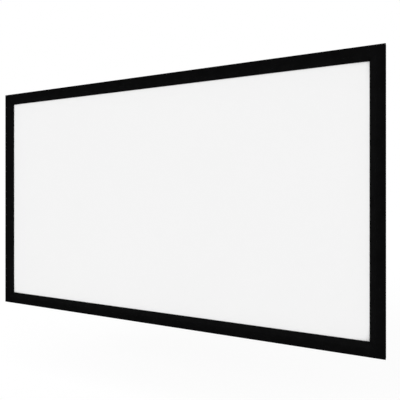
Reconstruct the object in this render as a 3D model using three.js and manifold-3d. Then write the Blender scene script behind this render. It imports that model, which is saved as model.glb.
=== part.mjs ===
// A fixed frame projection screen, 120 inches across the corners of its 16:9 picture, as it hangs on a wall.
//
// Four mitred aluminium bars carry a velvet wrap on every face that shows. Their section has two hollow
// chambers, two T-slots open to the back and a beveled lip that ends in a nose. The long bars are in two
// halves, held by splice plates in the slots, and the corners are held by elbow plates in the same slots.
// The white screen cloth lies against the back of the nose. Each edge of it has a welded hem with a
// fibreglass rod inside, and coil springs pull the rods outward through windows in the hem. An upright bar
// keeps the long bars apart, and four Z-shaped brackets hook into the slots and hold the frame to the wall.
//
// Millimetres. +Z is up, the picture faces -Y and the wall is at +Y. The origin is the middle of the whole.
import * as THREE from "three";
import { mergeVertices } from "three/addons/utils/BufferGeometryUtils.js";
import Module from "manifold-3d";

const wasm = await Module();
wasm.setup();

// Sizes of the whole
const PICTURE_WIDTH = 2656;
const PICTURE_HEIGHT = 1494;
const PICTURE_RECESS = 18.5; // front face of the frame back to the picture
const GALLERY_DEPTH = 19.5; // picture to the back of the bars
const WALL_GAP = 5; // back of the bars to the wall

// Clearances
const SEAT_GAP = 0.3; // between pieces that are glued, clamped or laid on each other
const JOINT_GAP = 0.3; // hairline where two bars or two rods meet

// Section of the bars
const BAR_WALL = 1.6;
const SLOT_WIDTH = 20;
const SLOT_HEIGHT = 5.5;
const SLOT_LIP = 4; // how far each lip reaches over its slot
const SLOT_LIP_THICKNESS = 2;
const CREST_BEYOND_RIB = 2.3; // inner rib to the crest where the bevel begins
const BEVEL_WIDTH = 32; // crest to the inner edge of the frame
const NOSE_THICKNESS = 3.5;
const NOSE_LAND = 6; // the flat behind the nose that the cloth lies on
const FRONT_EDGE_RADIUS = 2.5;
const BACK_EDGE_RADIUS = 1.5;
const CREST_RADIUS = 9;
const NOSE_RADIUS = 1.3;
const HOOK_RAIL_SETBACK = 1.5; // picture back to the rail that the springs hook over
const HOOK_RAIL_REACH = 4.5;
const HOOK_RAIL_HEIGHT = 5;

// Velvet wrap
const VELVET = 0.6;
const VELVET_BACK_FOLD = 6; // turned over onto the outer lip at the back
const VELVET_NOSE_FOLD = 5; // turned under the nose

// Plates in the slots
const PLATE_THICKNESS = 3;
const PLATE_CORNER = 2;
const ELBOW_LEGS = [150, 125]; // outer slot, inner slot
const ELBOW_HOLE_EDGE = 14; // end of a leg to its first hole
const ELBOW_HOLE_PITCH = 52;
const SPLICE_LENGTH = 170;
const SPLICE_HOLE_EDGE = 14;
const SPLICE_HOLE_PITCH = 44;
const SET_SCREW_HOLE = 5;

// Screen cloth and its hems
const CLOTH = 0.5;
const CLOTH_MARGIN = 4; // cloth hidden behind the nose at the corners
const ROD_RADIUS = 2.5;
const ROD_OFFSET = 10; // picture edge out to the middle of the rod
const WELD_START = 2; // picture edge in to where the hem closes onto the sheet
const WELD_END = 17; // picture edge in to the end of the welded flap
const HEM_INSET = 25; // corner of the picture to the end of a hem
const ROD_PROUD = 3; // how far a rod stands out of its hem
const WINDOW_WIDTH = 16; // the notch in a hem that a spring comes through
const WINDOW_MARGIN = 0.5; // the notch past the wire round the rod

// Springs
const SPRINGS_ON_LONG_EDGE = 10;
const SPRINGS_ON_SHORT_EDGE = 6;
const SPRING_WIRE = 0.6; // radius
const SPRING_COIL_RADIUS = 3;
const SPRING_LEAD = 3.2; // straight wire at each end of the coil

// Upright bar and its straps
const UPRIGHT_WIDTH = 40;
const UPRIGHT_CLEARANCE = 1.2; // back of a hem to the front of the bar
const UPRIGHT_WALL = 1.4;
const UPRIGHT_EDGE = 1.5;
const STRAP_THICKNESS = 2;
const STRAP_LENGTH = 62;
const STRAP_CORNER = 4;
const STRAP_HOLE = 4.3;
const STRAP_HOLE_PITCH = 22;
const STRAP_HOLE_EDGE = 9;

// Wall brackets
const BRACKET_OFFSET = 700; // middle of the screen to the middle of a bracket
const BRACKET_WIDTH = 60;
const BRACKET_HEIGHT = 34;
const BRACKET_THICKNESS = 2;
const BRACKET_CORNER = 5;
const BRACKET_TONGUE_CLEARANCE = 0.8; // top of the tongue to the side of the slot
const BRACKET_SLOT_LENGTH = 12;
const BRACKET_SLOT_WIDTH = 5.2;
const BRACKET_SLOT_PITCH = 34;

// Fineness of round work
const ARC_STEPS = 3;
const HOLE_SIDES = 8;
const WIRE_SIDES = 4;
const COIL_SIDES = 6;
const EYE_TURN = 1.5 * Math.PI;
const EYE_STEPS = 3;
const HOOK_STEPS = 4;
const HEM_STEPS = 5;
const ROD_SIDES = 8;

// Places that several pieces share. In a bar's section u runs in from the outer edge and v runs back
// from the front face.
const SKIN = VELVET + SEAT_GAP;
const SLOTS = [0, 1].map((k) => {
  const low = SKIN + BAR_WALL + k * (SLOT_WIDTH + BAR_WALL);
  return { low, high: low + SLOT_WIDTH, middle: low + SLOT_WIDTH / 2 };
});
const INNER_RIB = SLOTS[1].high + BAR_WALL;
const BEVEL_START = INNER_RIB + CREST_BEYOND_RIB;
const BAR_WIDTH = BEVEL_START + BEVEL_WIDTH;
const BAR_DEPTH = PICTURE_RECESS + GALLERY_DEPTH;
const OUTER_WIDTH = PICTURE_WIDTH + 2 * BAR_WIDTH;
const OUTER_HEIGHT = PICTURE_HEIGHT + 2 * BAR_WIDTH;
const WALL_PLANE = BAR_DEPTH + WALL_GAP;
const NOSE_FRONT = PICTURE_RECESS - NOSE_THICKNESS;
const METAL_BACK = BAR_DEPTH - SKIN;
const SLOT_CEILING = METAL_BACK - SLOT_LIP_THICKNESS;
const SLOT_FLOOR = SLOT_CEILING - SLOT_HEIGHT;
const CHAMBER_FRONT = SKIN + BAR_WALL;
const CHAMBER_BACK = SLOT_FLOOR - BAR_WALL;
const HOOK_RAIL_FRONT = PICTURE_RECESS + HOOK_RAIL_SETBACK;
const HOOK_RAIL_END = INNER_RIB + HOOK_RAIL_REACH;
const HOOK_RAIL_BACK = HOOK_RAIL_FRONT + HOOK_RAIL_HEIGHT;
const CLOTH_FRONT = PICTURE_RECESS + SEAT_GAP;
const CLOTH_BACK = CLOTH_FRONT + CLOTH;
const ROD_U = BAR_WIDTH - ROD_OFFSET;
const ROD_V = CLOTH_BACK + SEAT_GAP + ROD_RADIUS;
const HEM_RADIUS = ROD_RADIUS + SEAT_GAP + CLOTH;
const PLATE_BACK = SLOT_CEILING - SEAT_GAP;

// The four sides in turn about the Y axis: `out` is half the frame across that side, `along` half its length.
const SIDES = [
  { name: "top", turn: 0, out: OUTER_HEIGHT / 2, along: OUTER_WIDTH / 2, long: true },
  { name: "right", turn: 1, out: OUTER_WIDTH / 2, along: OUTER_HEIGHT / 2, long: false },
  { name: "bottom", turn: 2, out: OUTER_HEIGHT / 2, along: OUTER_WIDTH / 2, long: true },
  { name: "left", turn: 3, out: OUTER_WIDTH / 2, along: OUTER_HEIGHT / 2, long: false },
];

const MATERIALS = {
  velvet: material(0x0b0b0c, 0.95, 0),
  aluminium: material(0xb4b7ba, 0.42, 0.9),
  steel: material(0x9aa0a4, 0.38, 0.9),
  cloth: material(0xf4f4f4, 0.85, 0),
  rod: material(0xe6e2d2, 0.5, 0),
  spring: material(0xc4c7c9, 0.3, 1),
};

function material(color, roughness, metalness) {
  return new THREE.MeshStandardMaterial({ color, roughness, metalness });
}

// Drawing helpers

// A line through corners [x, y, radius], with each corner turned into an arc of its radius.
function roundedLine(corners) {
  const at = corners.map(([x, y]) => new THREE.Vector2(x, y));
  const points = [];
  corners.forEach(([, , radius = 0], i) => {
    const here = at[i];
    if (!radius || i === 0 || i === corners.length - 1) {
      points.push(here);
      return;
    }
    const back = at[i - 1].clone().sub(here).normalize();
    const ahead = at[i + 1].clone().sub(here).normalize();
    const half = Math.acos(THREE.MathUtils.clamp(back.dot(ahead), -1, 1)) / 2;
    const start = here.clone().addScaledVector(back, radius / Math.tan(half));
    const middle = back.clone().add(ahead).normalize();
    const centre = here.clone().addScaledVector(middle, radius / Math.sin(half));
    const spoke = start.clone().sub(centre);
    const swing = (Math.PI - 2 * half) * Math.sign(back.cross(ahead)) * -1;
    for (let k = 0; k <= ARC_STEPS; k++) {
      const turned = spoke.clone().rotateAround(new THREE.Vector2(), (swing * k) / ARC_STEPS);
      points.push(turned.add(centre));
    }
  });
  return points;
}

// The same line moved to its left by a distance, with mitred corners.
function offsetLine(points, distance) {
  const normals = points.slice(1).map((p, i) => {
    const way = p.clone().sub(points[i]).normalize();
    return new THREE.Vector2(-way.y, way.x);
  });
  return points.map((p, i) => {
    const a = normals[Math.max(i - 1, 0)];
    const b = normals[Math.min(i, normals.length - 1)];
    return p.clone().addScaledVector(a.clone().add(b), distance / (1 + a.dot(b)));
  });
}

function roundedRectangle(x0, y0, x1, y1, radius) {
  const shape = new THREE.Shape();
  if (radius === 0) {
    return shape.moveTo(x0, y0).lineTo(x1, y0).lineTo(x1, y1).lineTo(x0, y1);
  }
  const r = Math.min(radius, (x1 - x0) / 2, (y1 - y0) / 2);
  shape.absarc(x1 - r, y1 - r, r, 0, Math.PI / 2);
  shape.absarc(x0 + r, y1 - r, r, Math.PI / 2, Math.PI);
  shape.absarc(x0 + r, y0 + r, r, Math.PI, 1.5 * Math.PI);
  shape.absarc(x1 - r, y0 + r, r, 1.5 * Math.PI, 2 * Math.PI);
  return new THREE.Shape(shape.getPoints(ARC_STEPS));
}

function roundHole(x, y, diameter) {
  return new THREE.Shape(Array.from({ length: HOLE_SIDES }, (_, k) => {
    const t = (2 * Math.PI * (k + 0.5)) / HOLE_SIDES;
    return new THREE.Vector2(x + (diameter / 2) * Math.cos(t), y + (diameter / 2) * Math.sin(t));
  }));
}

function extrude(shape, depth) {
  return new THREE.ExtrudeGeometry(shape, { depth, steps: 1, bevelEnabled: false, curveSegments: ARC_STEPS });
}

// A round wire or rod along points, in the frame the points are given in.
function wire(points, radius, steps) {
  const ring = Array.from({ length: WIRE_SIDES }, (_, k) => {
    const t = (2 * Math.PI * (k + 0.5)) / WIRE_SIDES;
    return new THREE.Vector2(radius * Math.cos(t), radius * Math.sin(t));
  });
  const path = new THREE.CatmullRomCurve3(points.map((p) => new THREE.Vector3(...p)), false, "centripetal");
  return new THREE.ExtrudeGeometry(new THREE.Shape(ring), { extrudePath: path, steps });
}

// Joining and cutting

function solidFrom(geometry) {
  const bare = new THREE.BufferGeometry();
  bare.setAttribute("position", geometry.getAttribute("position"));
  bare.setIndex(geometry.getIndex());
  const merged = mergeVertices(bare, 1e-4);
  return new wasm.Manifold(new wasm.Mesh({
    numProp: 3,
    vertProperties: merged.attributes.position.array,
    triVerts: new Uint32Array(merged.index.array),
  }));
}

function geometryFrom(solid) {
  const mesh = solid.getMesh();
  const geometry = new THREE.BufferGeometry();
  geometry.setAttribute("position", new THREE.BufferAttribute(mesh.vertProperties, 3));
  geometry.setIndex(new THREE.BufferAttribute(mesh.triVerts, 1));
  geometry.computeVertexNormals();
  return geometry;
}

const joined = (solids) => solids.reduce((whole, next) => whole.add(next));
const cut = (solid, tools) => tools.reduce((rest, tool) => rest.subtract(tool), solid);

// A flat plate with holes through it, lying in the XY plane with its other face at z = thickness.
function plate(outline, holes, thickness) {
  const drills = holes.map((hole) => solidFrom(extrude(hole, 3 * thickness).translate(0, 0, -thickness)));
  return geometryFrom(cut(solidFrom(extrude(outline, thickness)), drills));
}

// Groups

const screen = new THREE.Group();
screen.position.y = -WALL_PLANE / 2;

function piece(parent, name, geometry, look) {
  const mesh = new THREE.Mesh(geometry, MATERIALS[look]);
  mesh.name = name;
  parent.add(mesh);
  return mesh;
}

// Within a side's group a section's u, v and length lie along -Z, +Y and +X of the top side.
function onSide(geometry, side) {
  return geometry.rotateY(Math.PI / 2).translate(0, 0, side.out);
}

const sideGroups = SIDES.map((side) => {
  const group = new THREE.Group();
  group.rotation.y = (side.turn * Math.PI) / 2;
  screen.add(group);
  return group;
});

// Bars and their velvet

// Everything that shows, from the fold on the back lip round the front to the fold behind the nose.
const FACE_LINE = roundedLine([
  [VELVET_BACK_FOLD, BAR_DEPTH],
  [0, BAR_DEPTH, BACK_EDGE_RADIUS],
  [0, 0, FRONT_EDGE_RADIUS],
  [BEVEL_START, 0, CREST_RADIUS],
  [BAR_WIDTH, NOSE_FRONT, NOSE_RADIUS],
  [BAR_WIDTH, PICTURE_RECESS, NOSE_RADIUS],
  [BAR_WIDTH - VELVET_NOSE_FOLD, PICTURE_RECESS],
]);

function velvetSection() {
  return new THREE.Shape([...FACE_LINE, ...offsetLine(FACE_LINE, VELVET).reverse()]);
}

function barSection() {
  const face = offsetLine(FACE_LINE, SKIN);
  const slope = NOSE_FRONT / (BAR_WIDTH - BEVEL_START);
  const plateHeight = (SKIN + BAR_WALL) * Math.hypot(1, slope);
  const underBevel = (u) => (u - BEVEL_START) * slope + plateHeight;
  const underCrest = BEVEL_START + (CHAMBER_FRONT - plateHeight) / slope;
  const landStart = BAR_WIDTH - NOSE_LAND;
  const slotOutline = ({ low, high }) => [
    [high - SLOT_LIP, METAL_BACK],
    [high - SLOT_LIP, SLOT_CEILING],
    [high, SLOT_CEILING],
    [high, SLOT_FLOOR],
    [low, SLOT_FLOOR],
    [low, SLOT_CEILING],
    [low + SLOT_LIP, SLOT_CEILING],
    [low + SLOT_LIP, METAL_BACK],
  ];
  const back = [
    [landStart, PICTURE_RECESS - SKIN],
    [landStart, underBevel(landStart)],
    [underCrest, CHAMBER_FRONT],
    [INNER_RIB, CHAMBER_FRONT],
    [INNER_RIB, HOOK_RAIL_FRONT],
    [HOOK_RAIL_END, HOOK_RAIL_FRONT],
    [HOOK_RAIL_END, HOOK_RAIL_BACK],
    [HOOK_RAIL_END - BAR_WALL, HOOK_RAIL_BACK],
    [HOOK_RAIL_END - BAR_WALL, HOOK_RAIL_FRONT + BAR_WALL],
    [INNER_RIB, HOOK_RAIL_FRONT + BAR_WALL],
    [INNER_RIB, METAL_BACK],
    ...slotOutline(SLOTS[1]),
    ...slotOutline(SLOTS[0]),
  ].map(([u, v]) => new THREE.Vector2(u, v));
  return new THREE.Shape([...face.slice(1, -1), ...back]);
}

// A section carried from one end to the other, with each end cut square or at 45 degrees, and run on
// past both ends by a length where it is to cut something else.
function carried(section, from, to, runOn = 0) {
  const geometry = extrude(section, 1);
  const position = geometry.getAttribute("position");
  const place = (end, u) => (end.mitred ? Math.sign(end.at) * (Math.abs(end.at) - u) : end.at);
  for (let i = 0; i < position.count; i++) {
    const atStart = position.getZ(i) < 0.5;
    position.setZ(i, place(atStart ? from : to, position.getX(i)) + (atStart ? -runOn : runOn));
  }
  return geometry;
}

function barGeometry(from, to) {
  const chambers = SLOTS.map(({ low, high }) => {
    const hollow = roundedRectangle(low, CHAMBER_FRONT, high, CHAMBER_BACK, 0);
    return solidFrom(carried(hollow, from, to, BAR_WALL));
  });
  return geometryFrom(cut(solidFrom(carried(barSection(), from, to)), chambers));
}

function lengthsOf(side) {
  const corner = side.along - (JOINT_GAP / 2) * Math.SQRT2;
  const low = { at: -corner, mitred: true };
  const high = { at: corner, mitred: true };
  if (!side.long) return [{ name: side.name, from: low, to: high }];
  const facingLeft = side.name === "top" ? ["left", "right"] : ["right", "left"];
  return [
    { name: `${side.name}_${facingLeft[0]}`, from: low, to: { at: -JOINT_GAP / 2, mitred: false } },
    { name: `${side.name}_${facingLeft[1]}`, from: { at: JOINT_GAP / 2, mitred: false }, to: high },
  ];
}

function addBars() {
  SIDES.forEach((side, i) => {
    for (const { name, from, to } of lengthsOf(side)) {
      piece(sideGroups[i], `bar_${name}`, onSide(barGeometry(from, to), side), "aluminium");
      piece(sideGroups[i], `velvet_${name}`, onSide(carried(velvetSection(), from, to), side), "velvet");
    }
  });
}

// Plates in the slots

// An elbow lying in the slots of two bars, laid out from the outer corner of the frame.
function elbowPlate(slot, leg) {
  const low = slot.low + SEAT_GAP;
  const high = slot.high - SEAT_GAP;
  const end = low + leg;
  const chamfer = PLATE_CORNER;
  const outline = [
    [low + 2 * chamfer, low], [end - chamfer, low], [end, low + chamfer], [end, high - chamfer],
    [end - chamfer, high], [high, high], [high, end - chamfer], [high - chamfer, end],
    [low + chamfer, end], [low, end - chamfer], [low, low + 2 * chamfer],
  ].map(([x, y]) => new THREE.Vector2(x, y));
  const alongLeg = [end - ELBOW_HOLE_EDGE, end - ELBOW_HOLE_EDGE - ELBOW_HOLE_PITCH];
  const holes = alongLeg.flatMap((at) => [
    roundHole(at, slot.middle, SET_SCREW_HOLE),
    roundHole(slot.middle, at, SET_SCREW_HOLE),
  ]);
  return plate(new THREE.Shape(outline), holes, PLATE_THICKNESS);
}

function addElbows() {
  const corners = [
    ["top_left", -1, 1, 0],
    ["top_right", 1, 1, 1],
    ["bottom_right", 1, -1, 2],
    ["bottom_left", -1, -1, 3],
  ];
  for (const [name, x, z, turn] of corners) {
    const group = new THREE.Group();
    group.position.set((x * OUTER_WIDTH) / 2, 0, (z * OUTER_HEIGHT) / 2);
    group.rotation.y = (turn * Math.PI) / 2;
    screen.add(group);
    ["outer", "inner"].forEach((which, k) => {
      const elbow = elbowPlate(SLOTS[k], ELBOW_LEGS[k]).rotateX(-Math.PI / 2);
      elbow.translate(0, PLATE_BACK - PLATE_THICKNESS, 0);
      piece(group, `elbow_${name}_${which}`, elbow, "steel");
    });
  }
}

function addSplices() {
  SIDES.forEach((side, i) => {
    if (!side.long) return;
    ["outer", "inner"].forEach((which, k) => {
      const half = SPLICE_LENGTH / 2;
      const width = [SLOTS[k].low + SEAT_GAP, SLOTS[k].high - SEAT_GAP];
      const outline = roundedRectangle(-half, width[0], half, width[1], PLATE_CORNER);
      const inwards = [half - SPLICE_HOLE_EDGE, half - SPLICE_HOLE_EDGE - SPLICE_HOLE_PITCH];
      const straps = k === 1 ? [STRAP_HOLE_PITCH / 2] : [];
      const holes = [...inwards, ...straps].flatMap((x) => {
        return [-x, x].map((at) => roundHole(at, SLOTS[k].middle, SET_SCREW_HOLE));
      });
      const splice = plate(outline, holes, PLATE_THICKNESS).rotateX(-Math.PI / 2);
      splice.translate(0, PLATE_BACK - PLATE_THICKNESS, side.out);
      piece(sideGroups[i], `splice_${side.name}_${which}`, splice, "steel");
    });
  });
}

// Screen cloth, rods and springs

function springPlaces(side) {
  const count = side.long ? SPRINGS_ON_LONG_EDGE : SPRINGS_ON_SHORT_EDGE;
  const pitch = (2 * (side.along - BAR_WIDTH)) / count;
  return Array.from({ length: count }, (_, k) => (k + 0.5 - count / 2) * pitch);
}

// The hem: the sheet runs out in front of the rod, turns round it, leaves it at a tangent and is welded
// back onto itself.
function hemSection() {
  const inner = HEM_RADIUS - CLOTH;
  const closes = BAR_WIDTH + WELD_START;
  const ends = BAR_WIDTH + WELD_END;
  const toWeld = new THREE.Vector2(closes - ROD_U, CLOTH_BACK - ROD_V);
  const leaves = Math.atan2(toWeld.y, toWeld.x) + Math.acos(inner / toWeld.length());
  const turn = 1.5 * Math.PI - leaves;
  const loop = (radius) => Array.from({ length: HEM_STEPS + 1 }, (_, k) => {
    const t = -Math.PI / 2 - (turn * k) / HEM_STEPS;
    return new THREE.Vector2(ROD_U + radius * Math.cos(t), ROD_V + radius * Math.sin(t));
  });
  const section = new THREE.Shape([
    new THREE.Vector2(ends, CLOTH_BACK + CLOTH),
    new THREE.Vector2(closes, CLOTH_BACK + CLOTH),
    ...loop(HEM_RADIUS).reverse(),
    new THREE.Vector2(ends, CLOTH_FRONT),
  ]);
  section.holes = [new THREE.Path([...loop(inner), new THREE.Vector2(closes, CLOTH_BACK)])];
  return section;
}

function addCloth() {
  const margin = 2 * CLOTH_MARGIN;
  const sheet = new THREE.BoxGeometry(PICTURE_WIDTH + margin, CLOTH, PICTURE_HEIGHT + margin);
  sheet.translate(0, (CLOTH_FRONT + CLOTH_BACK) / 2, 0);
  const hems = [];
  const windows = [];
  for (const side of SIDES) {
    const half = side.along - BAR_WIDTH - HEM_INSET;
    const turned = (geometry) => solidFrom(geometry.rotateY((side.turn * Math.PI) / 2));
    const hem = extrude(hemSection(), 2 * half).translate(0, 0, -half);
    hems.push(turned(onSide(hem, side)));
    const reach = ROD_RADIUS + 2 * SPRING_WIRE + WINDOW_MARGIN;
    for (const x of springPlaces(side)) {
      const opening = new THREE.BoxGeometry(2 * reach, 4 * reach, WINDOW_WIDTH).translate(ROD_U, ROD_V, x);
      windows.push(turned(onSide(opening, side)));
    }
  }
  const cloth = cut(joined([solidFrom(sheet), ...hems]), windows);
  piece(screen, "screen_cloth", geometryFrom(cloth), "cloth");
}

// One spring beside a rod: an eye round the rod, a closed coil, and a hook over the hook rail.
function springAt(x) {
  const overRail = HOOK_RAIL_BACK + SEAT_GAP + SPRING_WIRE;
  const inGroove = HOOK_RAIL_END - BAR_WALL - SEAT_GAP - SPRING_WIRE;
  const eye = ROD_RADIUS + SPRING_WIRE / 2;
  const start = new THREE.Vector2(ROD_U - eye, ROD_V);
  const finish = new THREE.Vector2(HOOK_RAIL_END, overRail);
  const way = finish.clone().sub(start).normalize();
  const coilLength = start.distanceTo(finish) - 2 * SPRING_LEAD;
  const coil = new THREE.CylinderGeometry(SPRING_COIL_RADIUS, SPRING_COIL_RADIUS, coilLength, COIL_SIDES);
  coil.rotateZ(way.angle() - Math.PI / 2);
  coil.translate((start.x + finish.x) / 2, (start.y + finish.y) / 2, x);
  const inCoil = (end, sign) => {
    const point = end.clone().addScaledVector(way, sign * (SPRING_LEAD + SPRING_WIRE));
    return [point.x, point.y, x];
  };
  const roundRod = Array.from({ length: EYE_STEPS + 1 }, (_, k) => {
    const angle = Math.PI + (EYE_TURN * k) / EYE_STEPS;
    return [ROD_U + eye * Math.cos(angle), ROD_V + eye * Math.sin(angle), x];
  });
  const toRod = wire([inCoil(start, 1), ...roundRod], SPRING_WIRE, EYE_STEPS + 2);
  const hook = wire([
    inCoil(finish, -1),
    [HOOK_RAIL_END, overRail, x],
    [inGroove + SPRING_WIRE, overRail, x],
    [inGroove, HOOK_RAIL_BACK - SPRING_WIRE, x],
    [inGroove, HOOK_RAIL_FRONT + BAR_WALL + 2 * SPRING_WIRE, x],
  ], SPRING_WIRE, HOOK_STEPS);
  return [coil, toRod, hook].map(solidFrom);
}

function addRods() {
  SIDES.forEach((side, i) => {
    const reach = side.along - BAR_WIDTH - HEM_INSET + ROD_PROUD;
    const halves = side.long
      ? [[-reach, -JOINT_GAP / 2], [JOINT_GAP / 2, reach]]
      : [[-reach, reach]];
    halves.forEach(([from, to], k) => {
      const rod = new THREE.CylinderGeometry(ROD_RADIUS, ROD_RADIUS, to - from, ROD_SIDES);
      rod.rotateX(Math.PI / 2).translate(ROD_U, ROD_V, (from + to) / 2);
      const springs = springPlaces(side).filter((x) => x > from && x < to).flatMap(springAt);
      const whole = geometryFrom(joined([solidFrom(rod), ...springs]));
      const name = lengthsOf(side)[k].name;
      piece(sideGroups[i], `rod_with_springs_${name}`, onSide(whole, side), "rod");
    });
  });
}

// Upright bar

function addUpright() {
  const half = UPRIGHT_WIDTH / 2;
  const front = ROD_V + HEM_RADIUS + UPRIGHT_CLEARANCE;
  const section = roundedRectangle(-half, front, half, METAL_BACK, UPRIGHT_EDGE);
  const wall = UPRIGHT_WALL;
  section.holes = [roundedRectangle(-half + wall, front + wall, half - wall, METAL_BACK - wall, UPRIGHT_EDGE)];
  const reach = OUTER_HEIGHT / 2 - INNER_RIB - SEAT_GAP;
  const bar = extrude(section, 2 * reach).translate(0, 0, -reach);
  piece(screen, "upright_bar", bar, "aluminium");

  SIDES.forEach((side, i) => {
    if (!side.long) return;
    const low = SLOTS[1].middle - STRAP_HOLE_EDGE;
    const outline = roundedRectangle(-half, low, half, low + STRAP_LENGTH, STRAP_CORNER);
    const holes = [SLOTS[1].middle, low + STRAP_LENGTH - STRAP_HOLE_EDGE].flatMap((y) => {
      return [-1, 1].map((way) => roundHole((way * STRAP_HOLE_PITCH) / 2, y, STRAP_HOLE));
    });
    const strap = plate(outline, holes, STRAP_THICKNESS).rotateX(-Math.PI / 2);
    strap.translate(0, METAL_BACK + SEAT_GAP, side.out);
    piece(sideGroups[i], `upright_strap_${side.name}`, strap, "steel");
  });
}

// Wall brackets

// A Z of folded steel: a tongue up inside the slot, a shelf under the lip, and a plate down the wall.
function bracketGeometry() {
  const t = BRACKET_THICKNESS;
  const tongueBack = SLOT_CEILING - SEAT_GAP;
  const tongueTop = BRACKET_TONGUE_CLEARANCE - SLOT_LIP;
  const shelf = SEAT_GAP;
  const foot = shelf + BRACKET_HEIGHT;
  const profile = new THREE.Shape([
    [tongueTop, tongueBack - t],
    [shelf + t, tongueBack - t],
    [shelf + t, WALL_PLANE - t],
    [foot, WALL_PLANE - t],
    [foot, WALL_PLANE],
    [shelf, WALL_PLANE],
    [shelf, tongueBack],
    [tongueTop, tongueBack],
  ].map(([down, back]) => new THREE.Vector2(down, back)));
  const half = BRACKET_WIDTH / 2;
  const folded = extrude(profile, BRACKET_WIDTH).translate(0, 0, -half).rotateY(Math.PI / 2);
  const deep = (shape) => extrude(shape, 2 * WALL_PLANE).rotateX(-Math.PI / 2);
  const outline = roundedRectangle(-half, tongueTop, half, foot, BRACKET_CORNER);
  const middle = (shelf + t + foot) / 2;
  const slots = [-1, 1].map((way) => {
    const x = (way * BRACKET_SLOT_PITCH) / 2;
    const reach = BRACKET_SLOT_LENGTH / 2;
    const high = BRACKET_SLOT_WIDTH / 2;
    return solidFrom(deep(roundedRectangle(x - reach, middle - high, x + reach, middle + high, high)));
  });
  return geometryFrom(cut(solidFrom(folded).intersect(solidFrom(deep(outline))), slots));
}

function addBrackets() {
  const lipAbove = {
    top: OUTER_HEIGHT / 2 - SLOTS[0].low - SLOT_LIP,
    bottom: -OUTER_HEIGHT / 2 + SLOTS[1].high - SLOT_LIP,
  };
  for (const [row, z] of Object.entries(lipAbove)) {
    for (const [hand, x] of [["left", -BRACKET_OFFSET], ["right", BRACKET_OFFSET]]) {
      piece(screen, `wall_bracket_${row}_${hand}`, bracketGeometry(), "steel").position.set(x, 0, z);
    }
  }
}

addBars();
addElbows();
addSplices();
addCloth();
addRods();
addUpright();
addBrackets();

const part = new THREE.Group();
part.add(screen);

export default part;
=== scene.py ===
"""A fixed frame projection screen: velvet border, stretched cloth, rods, springs, screws and studio.

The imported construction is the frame. Metres, +Z up, the picture faces -Y and the wall is at +Y.
In a bar's section u runs in from the outer edge and v runs back from the front face of the velvet.
"""
import math
from typing import NamedTuple

import bmesh
import bpy
import numpy as np
from bpy.props import FloatProperty, FloatVectorProperty, IntProperty, PointerProperty
from bpy.types import Operator, Panel, PropertyGroup
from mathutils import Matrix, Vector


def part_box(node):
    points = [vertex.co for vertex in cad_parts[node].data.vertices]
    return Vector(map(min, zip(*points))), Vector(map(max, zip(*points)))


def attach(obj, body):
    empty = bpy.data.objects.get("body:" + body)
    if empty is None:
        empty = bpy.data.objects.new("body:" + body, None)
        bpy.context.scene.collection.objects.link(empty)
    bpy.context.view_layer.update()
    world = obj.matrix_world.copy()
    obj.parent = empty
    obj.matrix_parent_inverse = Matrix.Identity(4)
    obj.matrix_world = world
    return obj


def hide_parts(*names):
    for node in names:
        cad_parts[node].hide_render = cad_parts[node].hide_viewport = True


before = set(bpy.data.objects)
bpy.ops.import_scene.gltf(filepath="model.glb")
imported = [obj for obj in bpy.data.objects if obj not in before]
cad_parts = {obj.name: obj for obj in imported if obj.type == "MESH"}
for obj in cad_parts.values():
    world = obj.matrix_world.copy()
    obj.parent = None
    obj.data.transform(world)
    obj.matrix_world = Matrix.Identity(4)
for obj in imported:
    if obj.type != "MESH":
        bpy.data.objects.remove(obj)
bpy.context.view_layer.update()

bl_info = {
    "name": "Fixed Frame Screen",
    "version": (1, 0, 0),
    "blender": (4, 5, 0),
    "location": "View3D > Sidebar > Screen",
    "description": "Builds the visible surfaces of a fixed frame projection screen and its studio",
    "category": "Object",
}

# Places read from the construction
HALF_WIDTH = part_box("velvet_right")[1].x
HALF_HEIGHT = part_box("velvet_top_left")[1].z
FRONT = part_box("velvet_left")[0].y
BAR_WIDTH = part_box("velvet_left")[1].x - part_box("velvet_left")[0].x
BAR_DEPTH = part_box("velvet_left")[1].y - FRONT
CLOTH_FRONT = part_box("screen_cloth")[0].y - FRONT
PLATE_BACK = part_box("splice_top_inner")[1].y - FRONT
STRAP_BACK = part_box("upright_strap_top")[1].y - FRONT
CORNERS = ("top_left", "top_right", "bottom_left", "bottom_right")
BARS = (*CORNERS, "left", "right")
LONG_EDGES = ("top", "bottom")
SLOTS = ("outer", "inner")

# Fineness of the surfaces
EYE_POINTS, COIL_POINTS, HOOK_POINTS = 60, 400, 24
WIRE_STEP = 0.0005
WIRE_EASING = 4
ROD_SIDES = 24
MERGE_DISTANCE = 2e-6
CAD_MERGE_DISTANCE = 5e-6


# Sizes and colours that a user would change

def length(name, description, default):
    """A size in metres."""
    return FloatProperty(name=name, description=description, default=default, unit="LENGTH", precision=5)


def angle_size(name, description, degrees):
    """An angle, shown in degrees."""
    return FloatProperty(name=name, description=description, default=math.radians(degrees), subtype="ANGLE")


def number(name, description, default):
    """A plain number."""
    return FloatProperty(name=name, description=description, default=default)


def colour(name, description, default):
    """A colour, as linear red, green and blue."""
    return FloatVectorProperty(name=name, description=description, default=default, subtype="COLOR",
                               size=3, min=0, max=1)


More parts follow.
